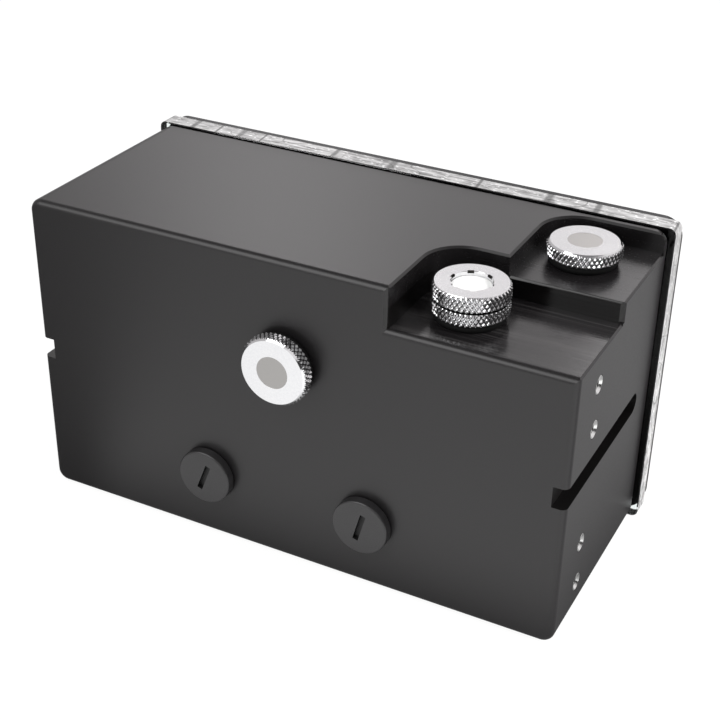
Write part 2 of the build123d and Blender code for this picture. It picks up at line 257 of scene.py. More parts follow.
class Coat:
    """A material while it is made, round one Principled shader."""

    def __init__(self, name: str, metallic: float) -> None:
        """Makes the material with a bare shader.

        Args:
            name: the material's name.
            metallic: 1 for a metal, 0 for anything else.
        """
        self.material = bpy.data.materials.new(name)
        self.tree = empty_tree(self.material)
        self.shader = add_node(self.tree, "BsdfPrincipled", {"Metallic": metallic})
        self.normal: Optional[Signal] = None
        add_node(self.tree, "OutputMaterial", {"Surface": self.shader})

    def set(self, name: str, value: Value) -> None:
        """Gives an input of the shader its value, or links it."""
        feed(self.shader.node, name, value)

    def lift(self, height: Signal, rise_mm: float) -> None:
        """Stacks more height on the surface.

        Args:
            height: the height's pattern, from 0 to 1.
            rise_mm: how high a full step of the pattern is.
        """
        inputs: dict = {"Height": height, "Distance": rise_mm * MM}
        if self.normal:
            inputs["Normal"] = self.normal
        self.normal = add_node(self.tree, "Bump", inputs)
        self.set("Normal", self.normal)

    def place_mm(self) -> Signal:
        """The surface's own coordinates in millimetres."""
        place = add_node(self.tree, "TexCoord")["Object"]
        return place.then("VectorMath", {0: place, "Scale": 1 / MM}, operation="SCALE")

    def upright(self) -> Signal:
        """How far the surface faces along its own Z: 1 for a floor, 0 for a wall."""
        facing = add_node(self.tree, "NewGeometry")["True Normal"]
        settings = {"vector_type": "NORMAL", "convert_from": "WORLD", "convert_to": "OBJECT"}
        return facing.then("VectorTransform", {0: facing}, **settings).axes()[2]


@dataclass(frozen=True)
class Finish:
    """What every finish has: a colour, a gloss and a fine grain.

    The grain is a noise that tints the colour, moves the roughness and lifts the surface.
    """

    name: str
    colour: str
    dark_colour: str
    roughness: float
    roughness_swing: float = 0.06
    metallic: float = 0.0
    ior: float = 1.5
    grain_mm: float = 0.4
    grain_detail: float = 3.0
    grain_lift_mm: float = 0.004
    stretch: Triple = (1.0, 1.0, 1.0)
    specular: float = 0.5
    clearness: float = 0.0
    tint_ends: Row = (0.3, 0.7)

    def start(self) -> Coat:
        """Makes the coat without its grain; a metal keeps the default IOR."""
        coat = Coat(self.name, self.metallic)
        if self.metallic < 0.5:
            coat.set("IOR", self.ior)
            coat.set("Specular IOR Level", self.specular)
            coat.set("Transmission Weight", self.clearness)
        return coat

    def tinted(self, noise: Signal) -> Signal:
        """A noise turned into a colour between the finish's two."""
        dark, light = self.tint_ends
        return noise.tint((dark, self.dark_colour), (light, self.colour))

    def grain(self, coat: Coat) -> tuple[Signal, Signal]:
        """Adds the noise grain to colour, roughness and height.

        Args:
            coat: the coat that gets it.

        Returns:
            The colour and the roughness, so that a finish can change them.
        """
        sizes = tuple(self.grain_mm * share for share in self.stretch)
        noise = coat.place_mm().marks(sizes, self.grain_detail)
        colour = self.tinted(noise)
        lowest = self.roughness - self.roughness_swing
        roughness = noise * (2 * self.roughness_swing) + lowest
        coat.set("Base Color", colour)
        coat.set("Roughness", roughness)
        coat.lift(noise, self.grain_lift_mm)
        return colour, roughness

    def build(self) -> Material:
        """Makes the material with its grain."""
        coat = self.start()
        self.grain(coat)
        return coat.material


@dataclass(frozen=True)
class MilledAcetal(Finish):
    """Black acetal, milled and bead blasted, with straight tool marks left in the two steps.

    It gives the eye a soft even sheen on the outside, glossier floors with real tool marks
    lightened by painted sheen into fine bright lines in the steps, and painted shade darkening the
    cut walls round them and in the rail grooves.
    """

    low_floor_mm: float = 74.1
    high_floor_mm: float = 79.5
    high_share: float = 0.5
    top_mm: float = 84.8
    back_mm: float = 31.475
    side_mm: float = 73.025
    steps_end_mm: float = -26.0
    skin_mm: float = 0.05
    outside_mm: float = 0.1
    wall_gap_mm: float = 0.02
    wall_shade_colour: str = "#0b0a0a"
    wall_tilt: float = 0.96
    line_gap_mm: float = 0.55
    line_length_mm: float = 70.0
    line_mm: float = 0.6
    line_ends: Row = (0.46, 0.62)
    line_sheen_colour: str = "#5a5858"
    line_share: float = 0.2
    line_lift_mm: float = 0.03
    line_polish: float = 0.26
    floor_polish: float = 0.07
    groove_middle_mm: float = 42.65
    groove_half_mm: float = 2.83
    groove_depth_mm: float = 3.6

    def steps(self, coat: Coat, gap_mm: float) -> Signal:
        """Where the steps are.

        Args:
            coat: the block's coat.
            gap_mm: how far below the block's top they end.

        Returns:
            1 in the low step, less in the high one and 0 outside.
        """
        x, y, z = coat.place_mm().axes()
        inside = (z > self.low_floor_mm - self.skin_mm) * (z < self.top_mm - gap_mm)
        inside = inside * (x < self.steps_end_mm) * (x > self.outside_mm - self.side_mm)
        inside = inside * (y < self.back_mm - self.outside_mm)
        higher = z > self.high_floor_mm - self.skin_mm
        return inside * (higher * -self.high_share + 1.0)

    def grooves(self, coat: Coat) -> Signal:
        """1 on the walls of the rail grooves and 0 elsewhere."""
        x, _, z = coat.place_mm().axes()
        floor = self.side_mm - self.groove_depth_mm - self.skin_mm
        inside = abs(z - self.groove_middle_mm) < self.groove_half_mm
        return inside * (abs(x) < self.side_mm - self.wall_gap_mm) * (abs(x) > floor)

    def build(self) -> Material:
        """Makes the material with its grain, its dark walls and the cutter's lines."""
        coat = self.start()
        colour, roughness = self.grain(coat)
        # Painted shade: the cut walls in the steps and in the rail grooves are covered with a
        # near-black colour.
        walls = (coat.upright() < self.wall_tilt) * self.steps(coat, self.wall_gap_mm)
        walls = walls.math("MAXIMUM", self.grooves(coat), clamp=True)
        colour = walls.cover(colour, self.wall_shade_colour)

        # Real cutter marks are about 0.1 mm apart, too fine for the picture, so these are coarser.
        sizes = (self.line_length_mm, self.line_mm, self.line_mm)
        floors = self.steps(coat, self.line_gap_mm)
        lines = coat.place_mm().marks(sizes) * floors
        # Painted sheen: the cutter lines on the floors are lightened towards grey; their lift and
        # lower roughness are real.
        line_sheen = lines.step(self.line_ends, (0.0, self.line_share))
        line_sheen = line_sheen.math("SUBTRACT", walls, clamp=True)
        shine = lines * self.line_polish + floors * self.floor_polish
        coat.set("Base Color", line_sheen.cover(colour, self.line_sheen_colour))
        coat.set("Roughness", roughness.math("SUBTRACT", shine, clamp=True))
        coat.lift(lines, self.line_lift_mm)
        return coat.material


@dataclass(frozen=True)
class AcrylicEdge(Finish):
    """The sawn and flame-polished edge of the clear sheet.

    It gives the eye a pale glitter in long thin streaks with painted glints, crossed by bands of
    painted dark reflection where the sheet's far faces mirror each other, and by fine dark veins.
    The upright edges carry painted shade, greyer towards the top. Each band is a (place, half
    width) along the edge; the first one is the thin line across the corner.
    """

    bands_mm: tuple[Row, ...] = (
        (-77.6, 0.7), (-57.0, 1.3), (-44.0, 1.6), (-25.0, 0.7), (0.0, 1.6),
        (17.0, 1.0), (39.5, 0.5), (46.3, 1.3), (53.6, 0.6), (61.2, 1.1),
    )
    band_core: float = 0.25
    band_share: float = 0.8
    band_reflection_colour: str = "#3c3c3c"
    slant: float = 0.1
    side_mm: float = 74.2
    side_shade: float = 0.5
    side_ends: Row = (0.25, 0.8)
    side_shade_colour: str = "#6a6969"
    top_mm: float = 85.3
    streak_length_mm: float = 34.0
    streak_mm: float = 0.75
    streak_detail: float = 4.0
    tint_ends: Row = (0.34, 0.66)
    patch_mm: Row = (4.8, 1.5)
    patch_share: float = 0.5
    glint_mm: Row = (1.6, 0.64)
    glint_ends: Row = (0.62, 0.72)
    glint_colour: str = "#f0f0f0"
    vein_mm: float = 19.0
    vein_ends: Row = (0.006, 0.0012)
    vein_dim: float = 0.5
    vein_colour: str = "#303030"

    def bands(self, along: Signal) -> Signal:
        """How dark the painted reflection bands are at a place along the edge.

        Args:
            along: millimetres along the edge.

        Returns:
            Most in the middle of a band and 0 between bands.
        """
        core = self.band_core
        dark, *others = (
            abs(along - place).step((half, core * half)) for place, half in self.bands_mm
        )
        for other in others:
            dark = dark.math("MAXIMUM", other)
        return dark * self.band_share

    def build(self) -> Material:
        """Makes the glittering edge."""
        coat = self.start()
        x, y, z = coat.place_mm().axes()
        along = x + z
        spot = along.then("CombineXYZ", {"X": along, "Y": y})
        streaks = spot.marks((self.streak_length_mm, self.streak_mm, 1.0), self.streak_detail)
        patches = spot.marks((*self.patch_mm, 1.0), 1.0) * self.patch_share
        colour = self.tinted(patches + streaks * (1 - self.patch_share))
        # Painted glints: small near-white spots over the streaks.
        painted_glints = spot.marks((*self.glint_mm, 1.0), 1.0).step(self.glint_ends)
        colour = painted_glints.cover(colour, self.glint_colour)
        # Painted shade: the upright edges turn greyer towards the top.
        low, high = (share * self.top_mm for share in self.side_ends)
        side = (abs(x) > self.side_mm) * z.step((low, high), (0.0, self.side_shade))
        colour = side.cover(colour, self.side_shade_colour)
        # Painted reflection: dark slanted bands where the sheet's far faces mirror each other.
        slanted = y * self.slant + (along - self.top_mm)
        colour = self.bands(slanted).cover(colour, self.band_reflection_colour)
        cracks = abs(spot.marks((self.vein_mm, self.vein_mm, 1.0), 1.0) - 0.5)
        veins = cracks.step(self.vein_ends, (0.0, self.vein_dim))
        coat.set("Base Color", veins.cover(colour, self.vein_colour))
        coat.set("Roughness", self.roughness)
        coat.lift(streaks, self.grain_lift_mm)
        return coat.material


@dataclass(frozen=True)
class PlatedChrome(Finish):
    """Chrome plate on turned and knurled brass.

    It gives the eye a mirror with fine turned rings on its face, a matt etched disc in its
    middle, and painted shade in the knurl's valleys.
    """

    rim_mm: float = 9.25
    knurl_depth_mm: float = 0.5
    ring_pitch_mm: float = 0.16
    ring_lift_mm: float = 0.004
    face_above_mm: float = 2.0
    disc_mm: float = 4.2
    disc_colour: str = "#a3a19f"
    disc_roughness: float = 0.2
    valley_shade_colour: str = "#2a2a2b"
    valley_ends: Row = (0.25, 0.1)
    valley_below_mm: float = 0.02
    valley_tilt: float = 0.6

    def build(self) -> Material:
        """Makes the plated material from the distance to the plug's axis."""
        coat = self.start()
        colour, roughness = self.grain(coat)
        x, y, z = coat.place_mm().axes()
        radius = (x * x + y * y).math("SQRT")
        inputs = {"W": radius, "Scale": 1 / self.ring_pitch_mm, "Detail": 1.0}
        coat.lift(radius.then("TexNoise", inputs, noise_dimensions="1D"), self.ring_lift_mm)

        root = self.rim_mm - self.knurl_depth_mm
        high, low = (root + share * self.knurl_depth_mm for share in self.valley_ends)
        # Painted shade: the knurl's sideways-facing valleys are covered with a dark grey.
        valley_shade = radius.step((high, low)) * (radius > root - self.valley_below_mm)
        valley_shade = valley_shade * (coat.upright() < self.valley_tilt)
        disc = (radius < self.disc_mm) * (z > self.face_above_mm)
        colour = disc.cover(valley_shade.cover(colour, self.valley_shade_colour), self.disc_colour)
        coat.set("Base Color", colour)
        rougher = disc * self.disc_roughness
        coat.set("Roughness", rougher.math("ADD", roughness, clamp=True))
        return coat.material


def add_object(name: str, data: bpy.types.ID) -> Thing:
    """Puts a new object in the scene."""
    thing = bpy.data.objects.new(name, data)
    bpy.context.scene.collection.objects.link(thing)
    return thing


def smooth(mesh: bpy.types.Mesh) -> None:
    """Shades a mesh smooth, with an edge kept sharp where it turns by more than an angle."""
    mesh.polygons.foreach_set("use_smooth", [True] * len(mesh.polygons))
    mesh.set_sharp_from_angle(angle=math.radians(SHARP_DEG))


def turned_mesh(
    name: str,
    rows: Sequence[Row],
    segments: int,
    shape: Optional[Shape] = None,
    closed: bool = False,
) -> Thing:
    """Turns rows of points about the Z axis, and lets a pattern move them in or out.

    Args:
        name: the new object's name.
        rows: (radius, height) of each ring in millimetres; a radius of 0 is one point.
        segments: how many points a ring has.
        shape: the radius of a point, from its row's radius, its angle and its height.
        closed: whether the last row joins the first, as in a bored piece.

    Returns:
        The object, with its axis on Z.
    """
    points: list[Triple] = []
    rings: list[list[int]] = []
    for radius, height in rows:
        first = len(points)
        if radius == 0:
            points.append((0.0, 0.0, height * MM))
            rings.append([first])
            continue
        for i in range(segments):
            angle = 2 * math.pi * i / segments
            r = shape(radius, angle, height) if shape else radius
            points.append((r * math.cos(angle) * MM, r * math.sin(angle) * MM, height * MM))
        rings.append(list(range(first, first + segments)))
    faces: list[tuple[int, ...]] = []
    pairs = list(zip(rings, rings[1:]))
    if closed:
        pairs.append((rings[-1], rings[0]))
    for low, high in pairs:
        for i in range(segments):
            j = (i + 1) % segments
            if len(low) == 1:
                faces.append((low[0], high[j], high[i]))
            elif len(high) == 1:
                faces.append((low[i], low[j], high[0]))
            else:
                faces.append((low[i], low[j], high[j], high[i]))
    mesh = bpy.data.meshes.new(name)
    mesh.from_pydata(points, [], faces)
    mesh.update()
    smooth(mesh)
    return add_object(name, mesh)


def cut_box(thing: Thing, sizes_mm: Triple, height_mm: float) -> None:
    """Cuts a box out of a closed piece on its own axis.

    Args:
        thing: the piece, made about the Z axis.
        sizes_mm: the box's lengths along X, Y and Z.
        height_mm: the height of the box's middle.
    """
    box = bmesh.new()
    bmesh.ops.create_cube(box, size=1.0)
    scale = Matrix.Diagonal([size * MM for size in sizes_mm] + [1.0])
    box.transform(Matrix.Translation((0.0, 0.0, height_mm * MM)) @ scale)
    mesh = bpy.data.meshes.new("cutter")
    box.to_mesh(mesh)
    box.free()
    cutter = add_object("cutter", mesh)
    step = thing.modifiers.new("slot", "BOOLEAN")
    step.operation = "DIFFERENCE"
    step.solver = "EXACT"
    step.object = cutter
    ready = thing.evaluated_get(bpy.context.evaluated_depsgraph_get())
    thing.data = bpy.data.meshes.new_from_object(ready)
    thing.modifiers.clear()
    bpy.data.objects.remove(cutter)
    smooth(thing.data)


def spread(first: Row, last: Row, steps: int) -> list[Row]:
    """Evenly spaced rows from one point of a profile to another, both kept.

    Args:
        first: the (radius, height) to start from.
        last: the (radius, height) to end at.
        steps: how many intervals lie between them.

    Returns:
        The rows.
    """
    reach = (last[0] - first[0], last[1] - first[1])
    shares = [i / steps for i in range(steps + 1)]
    return [(first[0] + reach[0] * share, first[1] + reach[1] * share) for share in shares]


def seat(thing: Thing, node: str, body: str) -> None:
    """Makes a finished piece ride its body in place of its CAD node.

    Args:
        thing: the piece.
        node: the CAD node that it stands for.
        body: the body that it moves with.
    """
    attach(thing, body)
    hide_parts(node)
    LOG.info("%s on %s", thing.name, body)


def dress_faces(thing: Thing, material: Material, wanted: Callable[[Face], bool]) -> None:
    """Gives some of a piece's faces a finish of their own.

    Args:
        thing: the piece, with its first finish.
        material: the finish of the faces.
        wanted: tells whether a face gets it.
    """
    thing.data.materials.append(material)
    index = len(thing.data.materials) - 1
    for face in thing.data.polygons:
        if wanted(face):
            face.material_index = index


@dataclass(frozen=True)
class Knurl:
    """A diamond knurl rolled into a rim: two crossed sets of V grooves with blunt crests."""

    radius_mm: float = 9.25
    teeth: int = 46
    axial_pitch_mm: float = 1.85
    depth_mm: float = 0.5
    blunt: float = 0.14
    start_mm: float = 2.5
    points_per_tooth: int = 8

    def cut(self, angle: float, height: float) -> float:
        """The rim's radius at an angle and a height."""
        around = self.teeth * angle / (2 * math.pi)
        along = (height - self.start_mm) / self.axial_pitch_mm
        grooves = [1 - abs(2 * ((around + way * along) % 1.0) - 1) for way in (1, -1)]
        deep = max(0.0, max(grooves) - self.blunt) / (1 - self.blunt)
        return self.radius_mm - self.depth_mm * deep

    def segments(self) -> int:
        """Points round the rim, a whole number for each tooth."""
        return self.teeth * self.points_per_tooth

    def rows(self, low: float, high: float) -> int:
        """Intervals between two heights that are fine enough for the grooves."""
        return max(1, round((high - low) / (self.axial_pitch_mm / self.points_per_tooth)))


@dataclass(frozen=True)
class Thread:
    """A screw thread, cut into a stem or, with its crests inwards, into a bore."""

    major_mm: float = 6.58
    pitch_mm: float = 1.337
    depth_mm: float = 0.8
    rows_per_turn: int = 10
    steepness: float = 1.3

    def cut(self, angle: float, height: float) -> float:
        """The thread's radius at an angle and a height, with rounded crest and root."""
        phase = (height / self.pitch_mm - angle / (2 * math.pi)) % 1.0
        rise = 0.5 - 0.5 * math.cos(2 * math.pi * phase)
        sharp = min(1.0, max(0.0, self.steepness * (rise - 0.5) + 0.5))
        return self.major_mm - self.depth_mm * (1 - sharp)

    def rows(self, low: float, high: float) -> int:
        """Intervals between two heights that are fine enough for the thread."""
        return max(1, round((high - low) / self.pitch_mm * self.rows_per_turn))


@dataclass(frozen=True)
class Stem:
    """A threaded stem that ends in a plain neck under the head."""

    length_mm: float
    neck_mm: float
    seat_mm: float = 0.0
    mouth_mm: float = 0.4
    chamfer_mm: float = 0.6
    thread: Thread = Thread()

    def thread_top(self) -> float:
        """The height at which the thread ends."""
        return -self.seat_mm - self.mouth_mm

    def rows(self, head_foot: float) -> list[Row]:
        """The profile from the stem's end up its thread and neck to the head."""
        major = self.thread.major_mm
        low = self.chamfer_mm - self.length_mm
        high = self.thread_top()
        rows: list[Row] = [(major - self.chamfer_mm, -self.length_mm)]
        rows += spread((major, low), (major, high), self.thread.rows(low, high))
        return rows + [(self.neck_mm, -self.seat_mm), (self.neck_mm, head_foot)]

    def shape(self, radius: float, angle: float, height: float) -> float:
        """A point's radius where the thread cuts into it."""
        if height < self.thread_top() + TINY_MM:
            return min(radius, self.thread.cut(angle, height))
        return radius


@dataclass
class Port:
    """Where a plug goes and the body that it rides on."""

    node: str
    body: str
    facing: Facing
    place_mm: Triple
    tilt_deg: float = 0.0

    def matrix(self) -> Matrix:
        """The plug's place: its axis along the port, its seat at the port's mouth."""
        move = Matrix.Translation(Vector(self.place_mm) * MM)
        if self.facing is Facing.UP:
            return move
        lay = Matrix.Rotation(math.radians(-90), 4, "X")
        return move @ lay @ Matrix.Rotation(math.radians(self.tilt_deg), 4, "Z")

    def fit(self, thing: Thing, slot: str) -> None:
        """Puts a finished piece, made about the Z axis, in the port."""
        thing.matrix_world = self.matrix()
        seat(thing, self.node, self.body)

    def ring(self) -> "Port":
        """The same place for the plug's rubber ring, which doesn't turn with the plug."""
        return replace(self, node=self.node + "_ring", body=self.node + "_seal", tilt_deg=0.0)


@dataclass
class RubberRing:
    """A moulded rubber ring, round in section."""

    port: Port
    radius_mm: float = 7.5
    section_mm: float = 2.0
    middle_mm: float = 1.05
    segments: int = 96
    around_section: int = 24

    def build(self, material: Material) -> None:
        """Makes the ring and fits it.

        Args:
            material: the rubber.
        """
        half = self.section_mm / 2
        rows = []
        for i in range(self.around_section):
            angle = 2 * math.pi * i / self.around_section
            radius = self.radius_mm + half * math.cos(angle)
            rows.append((radius, self.middle_mm + half * math.sin(angle)))
        thing = turned_mesh(self.port.node + "_moulded", rows, self.segments, closed=True)
        thing.data.materials.append(material)
        self.port.fit(thing, "black_rubber")


@dataclass
class KnurledPiece:
    """A chrome piece with a knurled rim, chamfered at its foot and its top."""

    port: Port
    knurl: Knurl = Knurl()
    foot_chamfer_mm: float = 0.4
    chamfer_mm: float = 0.9
    chamfer_steps: int = 5
    edge_mm: float = 0.12
    closed: bool = False

    def rim_rows(self, foot: float, top: float) -> list[Row]:
        """The profile up the knurled rim.

        Args:
            foot: the rim's lower end.
            top: its upper end.

        Returns:
            The rows, both ends kept.
        """
        rim = self.knurl.radius_mm
        low = foot + self.foot_chamfer_mm
        high = top - self.chamfer_mm
        rows = spread((rim - self.foot_chamfer_mm, foot), (rim, low), 2)
        rows += spread((rim, low), (rim, high), self.knurl.rows(low, high))[1:]
        return rows + spread((rim, high), (rim - self.chamfer_mm, top), self.chamfer_steps)[1:]

    def face_edge(self) -> float:
        """The radius at which the flat face starts, a little inside the chamfer."""
        return self.knurl.radius_mm - self.chamfer_mm - self.edge_mm

    def rows(self) -> list[Row]:
        """The whole profile."""
        raise NotImplementedError

    def shape(self, radius: float, angle: float, height: float) -> float:
        """A point's radius where the knurl cuts into it."""
        return min(radius, self.knurl.cut(angle, height))

    def turn(self, material: Material) -> Thing:
        """Makes the piece about the Z axis, with its finish."""
        name = self.port.node + "_knurled"
        thing = turned_mesh(name, self.rows(), self.knurl.segments(), self.shape, self.closed)
        thing.data.materials.append(material)
        return thing


@dataclass
class KnurledPlug(KnurledPiece):
    """A chrome plug: a threaded stem under a knurled head with a turned face."""

    head_foot_mm: float = 2.1
    head_mm: float = 3.35
    stem: Stem = Stem(6.5, 6.28)
    bore_mm: float = 4.2
    bore_depth_mm: float = 6.0
    bore_chamfer_mm: float = 0.2
    disc_mm: float = 4.2
    disc_depth_mm: float = 0.03

    def head_top(self) -> float:
        """The height of the head's face."""
        return self.head_foot_mm + self.head_mm

    def rows(self) -> list[Row]:
        """The profile from the bore's bottom, round the stem's end, up to the etched disc."""
        end = -self.stem.length_mm
        bottom = end + self.bore_depth_mm
        edge = self.bore_chamfer_mm
        top = self.head_top()
        etched = top - self.disc_depth_mm
        rows: list[Row] = [(0, bottom), (self.bore_mm, bottom)]
        rows += [(self.bore_mm, end + edge), (self.bore_mm + edge, end)]
        rows += self.stem.rows(self.head_foot_mm) + self.rim_rows(self.head_foot_mm, top)
        rows += [(self.face_edge(), top), (self.disc_mm, top)]
        return rows + [(self.disc_mm - self.disc_depth_mm, etched), (0, etched)]

    def shape(self, radius: float, angle: float, height: float) -> float:
        """A point's radius where the knurl or the thread cuts into it."""
        knurled = height > self.head_foot_mm - TINY_MM
        cutter = super().shape if knurled else self.stem.shape
        return cutter(radius, angle, height)

    def build(self, material: Material) -> None:
        """Makes the plug and fits it."""
        self.port.fit(self.turn(material), "chrome")


@dataclass
class VentBase(KnurledPlug):
    """The vent plug's lower half: open along its middle, with a neck for the cap."""

    head_mm: float = 3.05
    chamfer_mm: float = 0.4
    chamfer_steps: int = 2
    closed: bool = True
    stem: Stem = Stem(7.5, 6.28)
    air_mm: float = 2.5
    cap_thread: Thread = Thread(5.9, 1.0, 0.35)
    cap_neck_rise_mm: float = 2.3
    cap_thread_gaps_mm: Row = (0.1, 0.2)

    def rows(self) -> list[Row]:
        """The profile from the stem's end up the outside to the neck's top."""
        top = self.head_top()
        neck_top = top + self.cap_neck_rise_mm
        major = self.cap_thread.major_mm
        root = major - self.cap_thread.depth_mm
        low = top + self.cap_thread_gaps_mm[0]
        high = neck_top - self.cap_thread_gaps_mm[1]
        rows: list[Row] = [(self.air_mm, -self.stem.length_mm)]
        rows += self.stem.rows(self.head_foot_mm) + self.rim_rows(self.head_foot_mm, top)
        rows += [(root, top)]
        rows += spread((major, low), (major, high), self.cap_thread.rows(low, high))
        return rows + [(root, neck_top), (self.air_mm, neck_top)]

    def shape(self, radius: float, angle: float, height: float) -> float:
        """A point's radius where the knurl or one of the threads cuts into it."""
        if height > self.head_top() + TINY_MM:
            return min(radius, self.cap_thread.cut(angle, height))
        return super().shape(radius, angle, height)


@dataclass
class VentCap(KnurledPiece):
    """The vent plug's upper half: a knurled ring with a notched bore over the membrane."""

    knurl: Knurl = Knurl(start_mm=6.05)
    chamfer_mm: float = 0.6
    chamfer_steps: int = 4
    closed: bool = True
    low_mm: float = 5.65
    height_mm: float = 3.75
    bore_mm: float = 4.85
    bore_depth_mm: float = 1.5
    bore_chamfer_mm: float = 0.1
    ledge_mm: float = 0.35
    ledge_radius_mm: float = 3.6
    inner_mm: float = 6.0
    recess_mm: float = 7.07
    recess_top_mm: float = 6.15
    notch_half_mm: float = 0.825
    notch_reach_mm: float = 0.35
    notch_depth_mm: float = 0.55
    notch_floor_mm: float = 0.02
    notch_turn_deg: float = -3.0
    notches: int = 6
    shade_radii_mm: Row = (0.05, 0.6)
    shade_heights_mm: Row = (-0.1, -0.04)

    def levels(self) -> Row:
        """The heights of the notches' floor and of the cap's top."""
        top = self.low_mm + self.height_mm
        return top - self.notch_depth_mm, top

    def rows(self) -> list[Row]:
        """The profile from the foot up the rim, over the top and down the bore."""
        floor, top = self.levels()
        edge = self.bore_chamfer_mm
        ledge = top - self.bore_depth_mm
        foot = ledge - self.ledge_mm
        rows: list[Row] = [(self.recess_mm, self.low_mm)]
        rows += self.rim_rows(self.low_mm, top)
        rows += [(self.face_edge(), top), (self.bore_mm + edge, top), (self.bore_mm, top - edge)]
        rows += [(self.bore_mm, floor), (self.bore_mm, floor - self.notch_floor_mm)]
        rows += [(self.bore_mm, ledge), (self.ledge_radius_mm, ledge)]
        rows += [(self.ledge_radius_mm, foot), (self.inner_mm, foot)]
        return rows + [(self.inner_mm, self.recess_top_mm), (self.recess_mm, self.recess_top_mm)]

    def shape(self, radius: float, angle: float, height: float) -> float:
        """A point's radius, cut by the knurl outside and widened by the notches in the bore."""
        if radius > self.bore_mm + 2 * self.bore_chamfer_mm:
            return super().shape(radius, angle, height)
        step = 2 * math.pi / self.notches
        off = angle - math.radians(self.notch_turn_deg) + step / 2
        near = abs(off % step - step / 2)
        half = math.asin(self.notch_half_mm / (self.bore_mm + self.notch_reach_mm))
        open_here = near < half and height > self.levels()[0] - self.notch_floor_mm / 2
        return radius + self.notch_reach_mm if open_here else radius

    def build(self, material: Material, notch_material: Material) -> None:
        """Makes the cap and fits it.

        Args:
            material: the plated finish.
            notch_material: the darker metal in the notches, which paints their shade.
        """
        thing = self.turn(material)
        # Painted shade: the notches' floors and walls get the darker finish.
        low, high = (sum(pair) * MM for pair in zip(self.levels(), self.shade_heights_mm))
        near, far = ((self.bore_mm + out) * MM for out in self.shade_radii_mm)

        def in_notch(face: Face) -> bool:
            """Whether a face is the floor or the wall of a notch."""
            return low < face.center.z < high and near < face.center.xy.length < far

        dress_faces(thing, notch_material, in_notch)
        self.port.fit(thing, "chrome")


@dataclass
class MouldedPlug:
    """A black moulded plug: a threaded stem, a neck in its seat and a head with a coin slot."""

    port: Port
    head_radius_mm: float = 7.5
    head_foot_mm: float = 0.3
    head_mm: float = 2.5
    foot_chamfer_mm: float = 0.1
    edge_mm: float = 0.5
    edge_steps: int = 6
    stem: Stem = Stem(7.0, 5.8, 1.15)
    bore_mm: float = 4.4
    bore_depth_mm: float = 6.0
    slot_mm: Triple = (1.5, 7.8, 1.2)
    slot_margin_mm: float = 0.1
    segments: int = 160

    def rows(self) -> list[Row]:
        """The profile from the bore's bottom round the stem to the middle of the face."""
        end = -self.stem.length_mm
        bottom = end + self.bore_depth_mm
        rim = self.head_radius_mm
        foot = self.head_foot_mm
        chamfer = self.foot_chamfer_mm
        top = foot + self.head_mm
        rows: list[Row] = [(0, bottom), (self.bore_mm, bottom), (self.bore_mm, end)]
        rows += self.stem.rows(foot) + [(rim - chamfer, foot), (rim, foot + chamfer)]
        for i in range(self.edge_steps + 1):
            turn = math.pi / 2 * i / self.edge_steps
            radius = rim - self.edge_mm * (1 - math.cos(turn))
            rows.append((radius, top - self.edge_mm * (1 - math.sin(turn))))
        return rows + [(0, top)]

    def build(self, material: Material, slot_material: Material) -> None:
        """Makes the plug, cuts its slot and fits it.

        Args:
            material: the moulded nylon.
            slot_material: the darker nylon in the slot, which paints its shade.
        """
        name = self.port.node + "_moulded"
        thing = turned_mesh(name, self.rows(), self.segments, self.stem.shape)
        wide, long, deep = self.slot_mm
        top_mm = self.head_foot_mm + self.head_mm
        cut_box(thing, (wide, long, 2 * deep), top_mm)
        thing.data.materials.append(material)
        low = (top_mm - deep - self.slot_margin_mm) * MM
        high = (top_mm - TINY_MM) * MM
        reach_x, reach_y = ((size / 2 + self.slot_margin_mm) * MM for size in (wide, long))

        def in_slot(face: Face) -> bool:
            """Whether a face is a wall or the floor of the slot."""
            x, y, z = face.center
            return low < z < high and abs(x) < reach_x and abs(y) < reach_y

        # Painted shade: the slot's walls and floor get the darker nylon.
        dress_faces(thing, slot_material, in_slot)
        self.port.fit(thing, "black_nylon")


